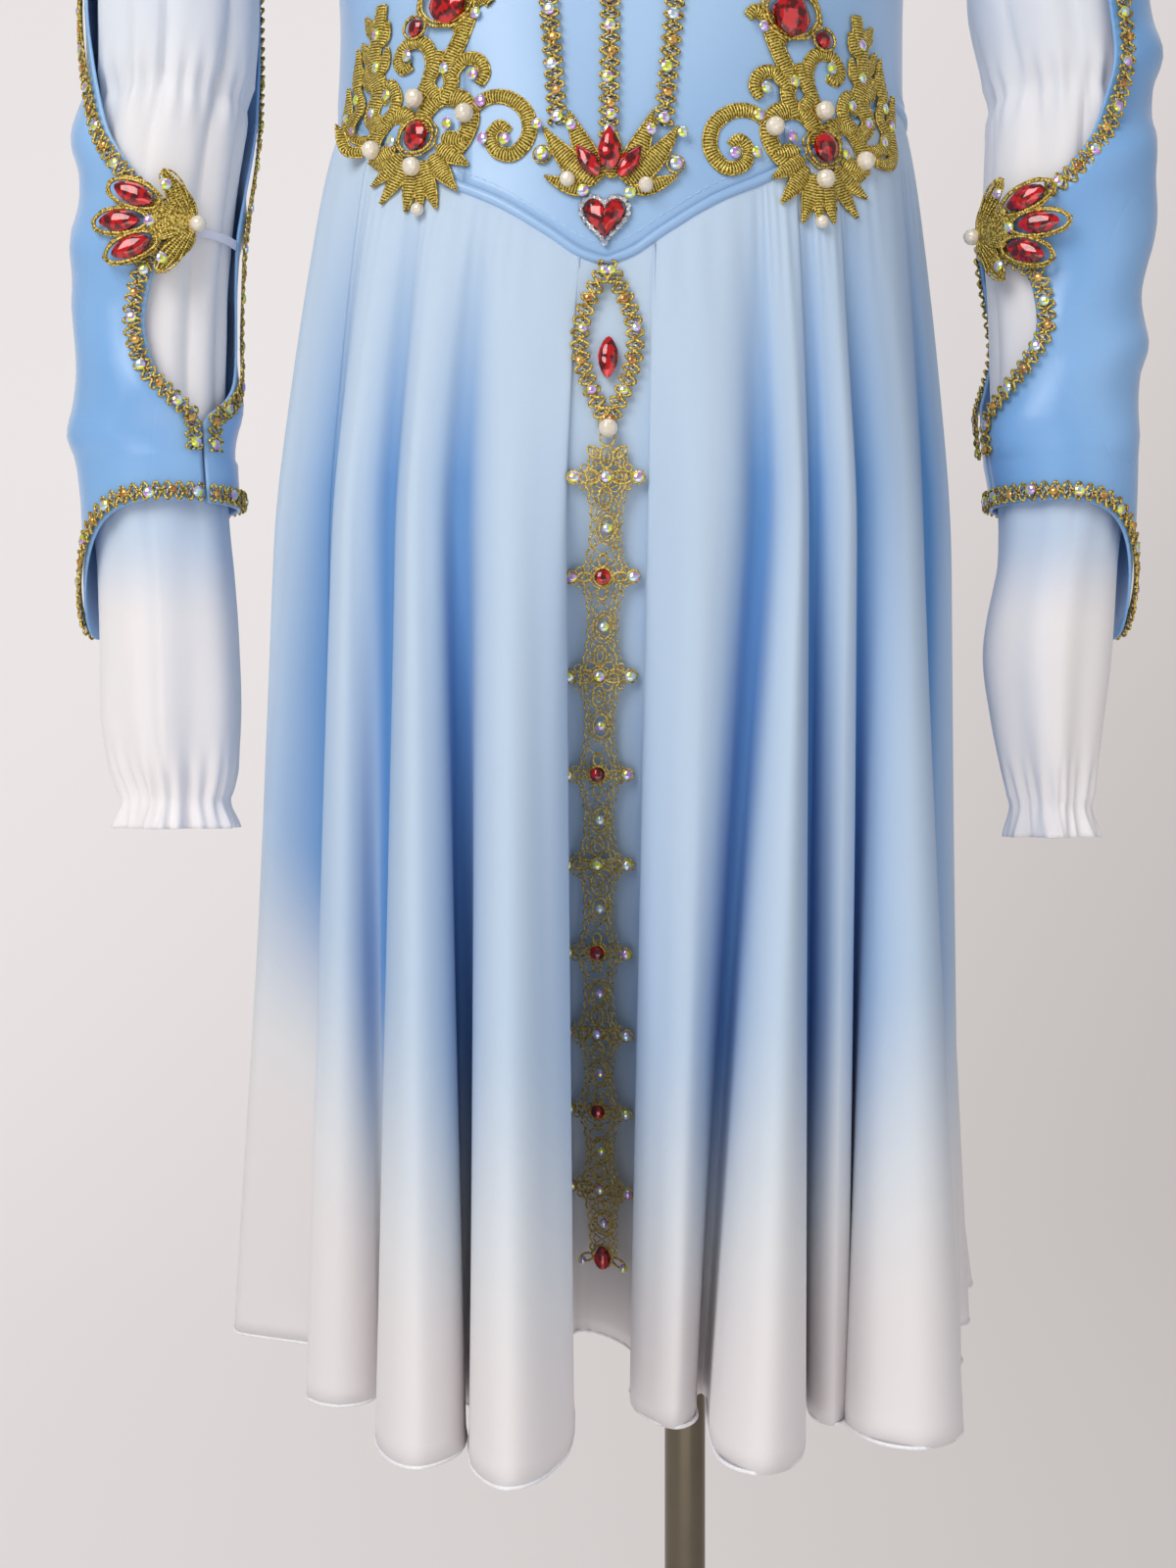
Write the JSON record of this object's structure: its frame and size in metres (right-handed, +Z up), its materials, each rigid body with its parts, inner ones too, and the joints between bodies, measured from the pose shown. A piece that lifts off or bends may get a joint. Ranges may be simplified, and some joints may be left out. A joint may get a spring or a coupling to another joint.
{
  "type": "lyrical dance dress on a dress form stand",
  "caption": "Long-sleeved lyrical dance dress with basque bodice, pleated dip-dyed skirt and slashed satin sleeves, worn by a limbless dress form on a pole stand",
  "frame": {"origin": "on the floor, on the flat underside of the stand's base plate, below the centre line of the dress", "axes": "+Z up along the pole, front of the dress towards -Y, +X to the viewer's right"},
  "size_m": [0.4949, 0.384, 1.534],
  "materials": {
    "satin": "blue duchess satin",
    "skirt_chiffon": "dip-dyed chiffon, blue fading to white",
    "sleeve_chiffon": "white chiffon",
    "gimp_braid": "metallic gold gimp braid",
    "gold_embroidery": "metallic gold thread",
    "red_stone": "faceted red glass, foil backed",
    "ab_stone": "iridescent clear rhinestone, foil backed",
    "pearl": "pearl bead",
    "elastic": "narrow woven elastic",
    "form_cover": "pale jersey cover",
    "steel": "satin steel tube and plate"
  },
  "bodies": {
    "root": {"stand_base": "steel", "stand_pole": "steel", "stand_socket": "steel", "form_torso": "form_cover", "bodice_front_centre": "satin", "bodice_front_side_left": "satin", "bodice_back_left": "satin", "bodice_front_side_right": "satin", "bodice_back_right": "satin", "waist_piping": "satin", "skirt_front": "skirt_chiffon", "skirt_back": "skirt_chiffon", "undersleeve_left": "sleeve_chiffon", "oversleeve_left": "satin", "slash_braid_front_left": "gimp_braid", "slash_braid_inner_left": "gimp_braid", "cuff_braid_left": "gimp_braid", "elastic_strap_left": "elastic", "sleeve_fan_left": "gold_embroidery", "undersleeve_right": "sleeve_chiffon", "oversleeve_right": "satin", "slash_braid_front_right": "gimp_braid", "slash_braid_inner_right": "gimp_braid", "cuff_braid_right": "gimp_braid", "elastic_strap_right": "elastic", "sleeve_fan_right": "gold_embroidery", "bodice_braid_left": "gimp_braid", "bodice_braid_centre": "gimp_braid", "bodice_braid_right": "gimp_braid", "hip_applique_left": "gold_embroidery", "hip_applique_right": "gold_embroidery", "crown_applique": "gold_embroidery", "heart_stone": "red_stone", "braid_loop": "gimp_braid", "lace_drop": "gold_embroidery"}
  },
  "joints": []
}
